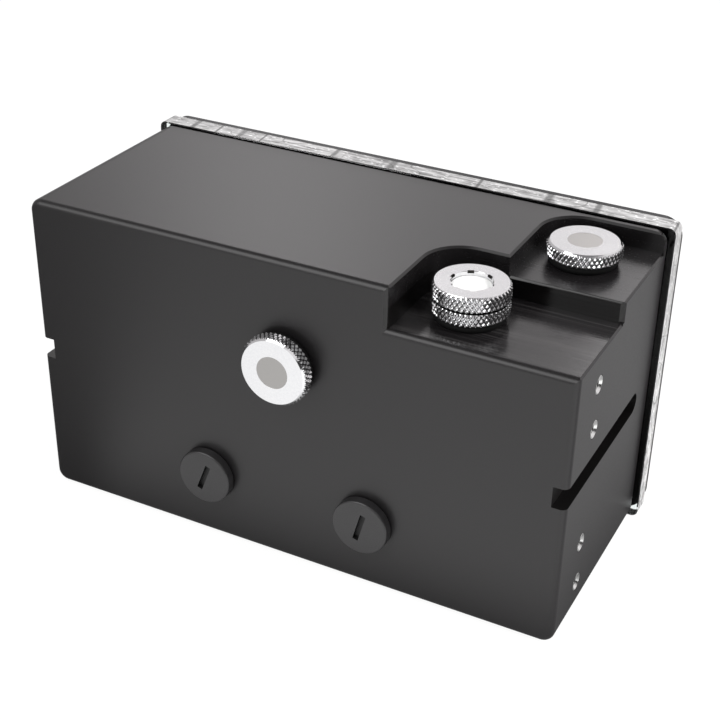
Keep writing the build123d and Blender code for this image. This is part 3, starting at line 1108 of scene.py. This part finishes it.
@dataclass
class RailInserts:
    """The four threaded metal inserts in one side of the block."""

    side: Side
    face_mm: float
    y_mm: float
    heights_mm: tuple[float, ...]
    radius_mm: float = INSERT_RADIUS_MM
    length_mm: float = 6.0
    mouth_mm: float = 0.6
    mouth_step_mm: float = 0.02
    lip_mm: float = 0.15
    dark_from_mm: float = 0.62
    bore_margin_mm: float = 0.1
    segments: int = 72
    thread: Thread = Thread(1.5, 0.5, 0.27)

    def shape(self, radius: float, angle: float, height: float) -> float:
        """A point's radius, with the thread in the bore."""
        threaded = radius == self.thread.major_mm
        return self.thread.cut(angle, height) if threaded else radius

    def one(self, name: str) -> Thing:
        """One insert on the Z axis, its mouth at the origin."""
        bore = self.thread.major_mm
        deep, mouth = -self.length_mm, -self.mouth_mm
        rows: list[Row] = [(self.radius_mm, deep), (self.radius_mm, -self.lip_mm)]
        rows += [(self.radius_mm - self.lip_mm, 0), (bore - mouth, 0)]
        rows += [(bore + self.mouth_step_mm, mouth)]
        rows += spread((bore, mouth), (bore, deep), self.thread.rows(deep, mouth))
        return turned_mesh(name, rows, self.segments, self.shape, closed=True)

    def build(self, material: Material, bore_material: Material) -> None:
        """Makes the row of inserts in place.

        Args:
            material: the plated metal.
            bore_material: the metal down in the threaded bore, darker as painted shade.
        """
        node = f"rail_inserts_{self.side.name.lower()}"
        thing = self.one(node + "_turned")
        turn = Matrix.Rotation(math.radians(90 * self.side.value), 4, "Y")
        whole = bmesh.new()
        for height in self.heights_mm:
            place = Vector((self.side.value * self.face_mm, self.y_mm, height)) * MM
            copy = thing.data.copy()
            copy.transform(Matrix.Translation(place) @ turn)
            whole.from_mesh(copy)
            bpy.data.meshes.remove(copy)
        whole.to_mesh(thing.data)
        whole.free()
        smooth(thing.data)
        thing.data.materials.append(material)
        # Painted shade: faces deeper in each bore than dark_from_mm get the darker finish.
        shade = (self.face_mm - self.dark_from_mm) * MM
        floor = (self.face_mm - self.length_mm + TINY_MM) * MM

        def in_bore(face: Face) -> bool:
            """Whether a face is deep in a bore."""
            deep = floor < abs(face.center.x) < shade
            near = min(abs(face.center.z / MM - height) for height in self.heights_mm)
            out = math.hypot(near, face.center.y / MM - self.y_mm)
            return deep and out < self.thread.major_mm + self.bore_margin_mm

        dress_faces(thing, bore_material, in_bore)
        seat(thing, node, "reservoir")


@dataclass(frozen=True)
class Glow:
    """A round glowing patch in the sky that only mirrors see."""

    azimuth_deg: float
    height_deg: float
    strength: float
    edge_deg: Row

    def build(self, way: Signal) -> Signal:
        """Adds the patch to the sky.

        Args:
            way: the direction that is looked in.

        Returns:
            How bright the patch is in that direction.
        """
        azimuth = math.radians(self.azimuth_deg)
        height = math.radians(self.height_deg)
        flat = math.cos(height)
        middle = (math.sin(azimuth) * flat, -math.cos(azimuth) * flat, math.sin(height))
        outer, inner = (math.cos(math.radians(angle)) for angle in self.edge_deg)
        return way.dot(middle).step((outer, inner), (0.0, self.strength))


@dataclass(frozen=True)
class Lamp:
    """A square soft lamp aimed at the object's middle."""

    name: str
    place_m: Triple
    size_m: float
    power_w: float
    mirrored: bool = True
    aim_m: Triple = (0.0, 0.0, 0.04)

    def build(self) -> None:
        """Hangs the lamp; one that isn't mirrored lights matt surfaces only."""
        data = bpy.data.lights.new(self.name, "AREA")
        data.shape = "SQUARE"
        data.size = self.size_m
        data.energy = self.power_w
        aim = (Vector(self.aim_m) - Vector(self.place_m)).to_track_quat("-Z", "Y")
        lamp = add_object(self.name, data)
        lamp.matrix_world = Matrix.Translation(self.place_m) @ aim.to_matrix().to_4x4()
        lamp.visible_glossy = self.mirrored


@dataclass
class Studio:
    """White paper, soft lamps, and the camera where the photograph was taken.

    Mirrors see a room of their own: bright paper with painted light behind the block and painted
    shade that dims it at the foot, beside the block and past its corner, an even sky with two
    glowing patches, a dark ceiling and a dark wall at one side.
    Each pair of ends is where a change starts and where it is complete, along a direction in
    the sky and in metres on the paper.
    """

    eye_mm: Triple = (-148.49, 285.04, 228.51)
    yaw_deg: float = -26.791
    pitch_deg: float = 29.996
    roll_deg: float = 1.1056
    focal_px: float = 1423.74
    frame_px: float = 720.0
    sensor_mm: float = 36.0
    clip_m: Row = (0.01, 50.0)
    lamps: tuple[Lamp, ...] = (
        Lamp("key_softbox", (0.3, 0.62, 0.62), 0.7, 4.5),
        Lamp("side_softbox", (-0.6, -0.1, 0.3), 0.5, 7.0, mirrored=False),
    )
    sky: float = 0.55
    mirrored_sky: float = 0.92
    mirrored_colour: str = "#fffcfd"
    mirrored_top: float = 0.25
    top_ends: Row = (0.68, 0.88)
    mirrored_left: float = 0.6
    left_ends: Row = (0.47, 0.62)
    glows: tuple[Glow, ...] = (
        Glow(31.0, 30.5, 5.4, (6.5, 1.5)),
        Glow(8.0, 33.0, 4.0, (9.0, 4.0)),
    )
    wall: float = 0.06
    wall_way: Triple = (-0.75, 0.66, 0.0)
    wall_ends: Row = (0.25, 0.5)
    wall_top_ends: Row = (0.45, 0.3)
    paper_m: float = 6.0
    paper_drop_m: float = 0.00002
    paper_colour: str = "#f4f4f4"
    paper_white: float = 1.05
    shadow: float = 0.12
    paper_foot_shade: float = 0.12
    paper_front: float = 0.75
    front_ends: Row = (-0.04, -0.14)
    paper_beside_shade: float = 0.4
    beside_ends: Row = (-0.0735, -0.095)
    paper_behind: float = 1.12
    paper_far_behind: float = 1.344
    behind_ends: Row = (0.08, -0.05)
    back_ends: Row = (0.02, 0.062)
    paper_corner_shade: float = 0.15
    corner_x: float = 0.053
    corner_slope: float = -0.65
    corner_ends: Row = (-0.005, -0.025)

    def camera(self) -> None:
        """Sets the camera from the eye's place, its turn and its focal length."""
        yaw = math.radians(self.yaw_deg)
        pitch = math.radians(self.pitch_deg)
        roll = math.radians(self.roll_deg)
        flat = math.cos(pitch)
        forward = Vector((-math.sin(yaw) * flat, -math.cos(yaw) * flat, -math.sin(pitch)))
        level = forward.cross(Vector((0, 0, 1))).normalized()
        steep = level.cross(forward)
        right = math.cos(roll) * level + math.sin(roll) * steep
        up = -math.sin(roll) * level + math.cos(roll) * steep
        turn = Matrix((right, up, -forward)).transposed().to_4x4()
        data = bpy.data.cameras.new("camera")
        data.sensor_width = self.sensor_mm
        data.lens = self.focal_px / self.frame_px * self.sensor_mm
        data.clip_start, data.clip_end = self.clip_m
        camera = add_object("camera", data)
        camera.matrix_world = Matrix.Translation(Vector(self.eye_mm) * MM) @ turn
        bpy.context.scene.camera = camera

    def straight(self, path: Signal) -> Signal:
        """1 for rays from the camera or through clear material, which see plain white."""
        return path["Is Camera Ray"].math("MAXIMUM", path["Is Transmission Ray"])

    def mirrored(self, tree: Tree) -> Signal:
        """The sky that mirrors see: even, with glowing patches, and dark above and at a wall."""
        way = add_node(tree, "TexCoord")["Generated"]
        x, _, z = way.axes()
        wall = way.dot(self.wall_way).step(self.wall_ends) * abs(z).step(self.wall_top_ends)
        ends = (self.mirrored_sky, self.mirrored_top * self.mirrored_sky)
        sky = (wall * (self.wall - 1) + 1.0) * z.step(self.top_ends, ends)
        sky = sky * x.step(self.left_ends, (1.0, self.mirrored_left))
        for glow in self.glows:
            sky = sky + glow.build(way)
        return sky

    def world(self) -> None:
        """Makes the sky: plain white to look at, softer as light, a room of its own in mirrors."""
        world = bpy.data.worlds.new("white_room")
        tree = empty_tree(world)
        path = add_node(tree, "LightPath")
        glossy = path["Is Glossy Ray"]
        strength = self.straight(path).mix(glossy.mix(self.sky, self.mirrored(tree)), 1.0)
        colour = glossy.cover("#ffffff", self.mirrored_colour)
        back = add_node(tree, "Background", {"Color": colour, "Strength": strength})
        add_node(tree, "OutputWorld", {"Surface": back})
        bpy.context.scene.world = world

    def paper_painted_light(self, tree: Tree) -> Signal:
        """How bright mirrors see the paper, with painted light and shade: bright behind the block
        and in front, dim beside it, at its foot and past its corner.
        """
        x, y, _ = add_node(tree, "NewGeometry")["Position"].axes()
        # Painted light and shade on the paper as mirrors see it: dim at the block's foot, beside it
        # and past its corner, brighter behind it.
        front = y.step(self.front_ends, (self.paper_foot_shade, self.paper_front))
        beside = x.step(self.beside_ends).mix(front, self.paper_beside_shade)
        behind = x.step(self.behind_ends, (self.paper_behind, self.paper_far_behind))
        corner = y * self.corner_slope + (x - self.corner_x)
        behind = behind * corner.step(self.corner_ends, (self.paper_corner_shade, 1.0))
        return y.step(self.back_ends).mix(beside, behind)

    def paper(self) -> None:
        """Lays the white paper that the object stands on, which keeps a faint shadow."""
        half = self.paper_m / 2
        mesh = bpy.data.meshes.new("paper")
        corners = [(-half, -half, 0.0), (half, -half, 0.0), (half, half, 0.0), (-half, half, 0.0)]
        mesh.from_pydata(corners, [], [(0, 1, 2, 3)])
        sheet = add_object("paper", mesh)
        sheet.location.z = -self.paper_drop_m
        material = bpy.data.materials.new("white_paper_matt")
        tree = empty_tree(material)
        path = add_node(tree, "LightPath")
        straight = self.straight(path)
        share = straight.math("MAXIMUM", path["Is Glossy Ray"]) * (1 - self.shadow)
        strength = straight.mix(self.paper_painted_light(tree), self.paper_white)
        matt = add_node(tree, "BsdfDiffuse", {"Color": linear(self.paper_colour)})
        inputs = {"Color": linear("#ffffff"), "Strength": strength}
        mixed = add_node(tree, "MixShader", {0: share, 1: matt, 2: matt.then("Emission", inputs)})
        add_node(tree, "OutputMaterial", {"Surface": mixed})
        mesh.materials.append(material)

    def build(self) -> None:
        """Sets up camera, lamps, sky and paper."""
        self.camera()
        for lamp in self.lamps:
            lamp.build()
        self.world()
        self.paper()
        bpy.context.scene.view_settings.view_transform = "Standard"
        LOG.info("studio ready")


def dress(node: str, material: Material) -> None:
    """Gives a CAD node its finish and smooth shading.

    Args:
        node: the node's name.
        material: its finish.
    """
    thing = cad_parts[node]
    thing.data.materials.clear()
    thing.data.materials.append(material)
    smooth(thing.data)
    LOG.info("%s dressed in %s", node, material.name)


def dress_edges(node: str, material: Material, margin_mm: float = 0.6) -> None:
    """Gives the outer edges of an upright plate a finish of their own.

    Args:
        node: the plate's node, already dressed.
        material: the finish of its edges.
        margin_mm: how far inside the plate's box the faces of a rounded corner may lie.
    """
    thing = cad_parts[node]
    low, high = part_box(node)

    def outer(face: Face) -> bool:
        """Whether a face is on the plate's outline."""
        middle = thing.matrix_world @ face.center
        near = min(middle.x - low.x, high.x - middle.x, middle.z - low.z, high.z - middle.z)
        facing_out = abs(face.normal.y) < 0.5
        return facing_out and near < margin_mm * MM

    dress_faces(thing, material, outer)
    LOG.info("%s edges dressed in %s", node, material.name)


def middle_mm(node: str) -> Vector:
    """The middle of a CAD node's box in millimetres."""
    low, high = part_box(node)
    return (low + high) / 2 / MM


# Cast acrylic: clear with sharp mirror images and faint waves, and so dark before the block.
ACRYLIC = Finish(
    "acrylic_cast_clear", "#f7fbfa", "#eef6f4", 0.035, 0.02, ior=1.49, grain_mm=3.0,
    grain_lift_mm=0.001, clearness=1.0,
)
# Brushed and anodised aluminium: a dark metal sheen drawn out sideways.
ANODISED = Finish(
    "aluminium_brushed_black_anodised", "#262628", "#1a1a1b", 0.34, metallic=1.0, grain_mm=0.12,
    stretch=(40.0, 1.0, 1.0),
)
# Black oxide on steel: nearly black, with dull glints on the screws' edges.
STEEL = Finish("steel_black_oxide", "#2b2a29", "#1c1c1c", 0.38, metallic=1.0, grain_mm=0.25)
# Turned brass: a warm yellow ring in the front holes.
BRASS = Finish("brass_turned", "#c9a867", "#b3904f", 0.28, metallic=1.0, grain_mm=0.2)
# Moulded nitrile: the blackest thing in view, hardly any gloss.
RUBBER = Finish("nitrile_moulded", "#0c0c0c", "#070707", 0.8, ior=1.52, grain_mm=0.3, specular=0.2)
# Nickel plate on steel: bright rings in the dark side.
NICKEL = Finish("steel_nickel_plated", "#ececeb", "#dadad9", 0.18, metallic=1.0, grain_mm=0.2)
# The same plate, darker down in the thread as painted shade: light and dark turns down the bore.
BORE_SHADE = Finish("steel_thread_painted_shade", "#a9a8a5", "#4c4c4a", 0.2, metallic=1.0, grain_mm=0.2)
# Painted shade in the notches round the vent's bore: dark ticks on the brass.
NOTCH_SHADE = Finish("brass_notch_painted_shade", "#4e4c49", "#2e2d2b", 0.4, metallic=1.0, grain_mm=0.2)
# Moulded nylon: a dark grey a little livelier than the block behind it.
NYLON = Finish(
    "nylon_moulded_black", "#2a292a", "#1b1a1b", 0.35, ior=1.53, grain_mm=0.35, grain_lift_mm=0.012
)
# The rough inside of the coin slot, darker as painted shade: a flat black bar.
NYLON_SLOT = Finish("nylon_rough_slot_painted_shade", "#131313", "#0b0b0b", 0.6, ior=1.53, grain_mm=0.3)
# Porous PTFE sheet: a flat, chalky white disc.
MEMBRANE = Finish(
    "ptfe_porous_sheet", "#fafaf9", "#efefee", 0.7, ior=1.38, grain_mm=0.15, grain_lift_mm=0.02
)
# Chrome plate on turned brass: bright faces with fine rings and a glittering knurl, with painted
# shade in its valleys.
CHROME = PlatedChrome("brass_turned_chrome_plated", "#e6e6e7", "#dfdfe1", 0.1, 0.03, metallic=1.0)


def dress_block(low_floor: float, high_floor: float, top: float) -> None:
    """Dresses the block and what is fixed to its front.

    Args:
        low_floor: the low step's floor in millimetres.
        high_floor: the high step's floor in millimetres.
        top: the block's top in millimetres.
    """
    # Acetal, milled and bead blasted: deep black with a soft grey sheen.
    acetal = MilledAcetal(
        "acetal_milled_and_blasted", "#1c1a1b", "#141314", 0.34, grain_mm=0.35, ior=1.48,
        low_floor_mm=low_floor, high_floor_mm=high_floor, top_mm=top,
    )
    # The sheet's sawn edge: a pale line full of streaks, with painted glints, painted reflection
    # bands and painted shade.
    edge = AcrylicEdge(
        "acrylic_sawn_and_flame_polished", "#cccbcb", "#5c5b5b", 0.25, ior=1.49, grain_lift_mm=0.02,
        top_mm=top + PLATE_RISE_MM,
    )
    dress("reservoir_body", acetal.build())
    dress("window_plate", ACRYLIC.build())
    dress_edges("window_plate", edge.build())
    dress("front_bezel", ANODISED.build())
    dress("front_screws", STEEL.build())
    dress("front_inserts", BRASS.build())


def build_vent_and_plugs(low_floor: float, high_floor: float, back: float) -> None:
    """Makes the plugs and their rubber rings, each in its port.

    Args:
        low_floor: the low step's floor in millimetres.
        high_floor: the high step's floor in millimetres.
        back: the block's back face in millimetres.
    """
    rubber = RUBBER.build()
    nylon = NYLON.build()
    nylon_slot = NYLON_SLOT.build()
    chrome = CHROME.build()
    dress("window_seal", rubber)
    dress("vent_membrane", MEMBRANE.build())

    vent = (*middle_mm("vent_cap").xy, low_floor)
    fill = (*middle_mm("fill_plug").xy, high_floor)
    returned = middle_mm("return_plug")
    fill_port = Port("fill_plug", "fill_plug", Facing.UP, fill)
    return_place = (returned.x, back, returned.z)
    return_port = Port("return_plug", "return_plug", Facing.BACK, return_place)
    base_port = Port("vent_base", "vent_base", Facing.UP, vent)
    cap_port = Port("vent_cap", "vent_cap", Facing.UP, vent)
    KnurledPlug(fill_port).build(chrome)
    KnurledPlug(return_port).build(chrome)
    VentBase(base_port).build(chrome)
    VentCap(cap_port).build(chrome, NOTCH_SHADE.build())
    for port in (base_port, fill_port, return_port):
        RubberRing(port.ring()).build(rubber)
    RubberRing(cap_port.ring(), radius_mm=6.5, section_mm=0.9, middle_mm=5.65).build(rubber)
    for name, tilt in SLOT_TILTS_DEG.items():
        drain = middle_mm(name)
        port = Port(name, name, Facing.BACK, (drain.x, back, drain.z), tilt)
        MouldedPlug(port).build(nylon, nylon_slot)
        RubberRing(port.ring(), radius_mm=6.5, section_mm=1.3, middle_mm=-0.45).build(rubber)


def build_inserts(side_face: float) -> None:
    """Makes the rail inserts in both sides.

    Args:
        side_face: the block's left side in millimetres.
    """
    nickel = NICKEL.build()
    bore = BORE_SHADE.build()
    depth = middle_mm("rail_inserts_left").y
    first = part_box("rail_inserts_left")[0].z / MM + INSERT_RADIUS_MM
    upper = first + BAY_PITCH_MM
    heights = (first, first + HOLE_PITCH_MM, upper, upper + HOLE_PITCH_MM)
    for side in Side:
        RailInserts(side, side_face, depth, heights).build(nickel, bore)


def main() -> None:
    """Builds the studio, the block, the plugs and the inserts, in that order."""
    logging.basicConfig(level=logging.INFO, format="%(message)s")
    Studio().build()
    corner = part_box("reservoir_body")[1] / MM
    low_floor = corner.z - LOW_STEP_MM
    high_floor = corner.z - HIGH_STEP_MM
    dress_block(low_floor, high_floor, corner.z)
    build_vent_and_plugs(low_floor, high_floor, corner.y)
    build_inserts(corner.x)


if __name__ == "__main__":
    main()
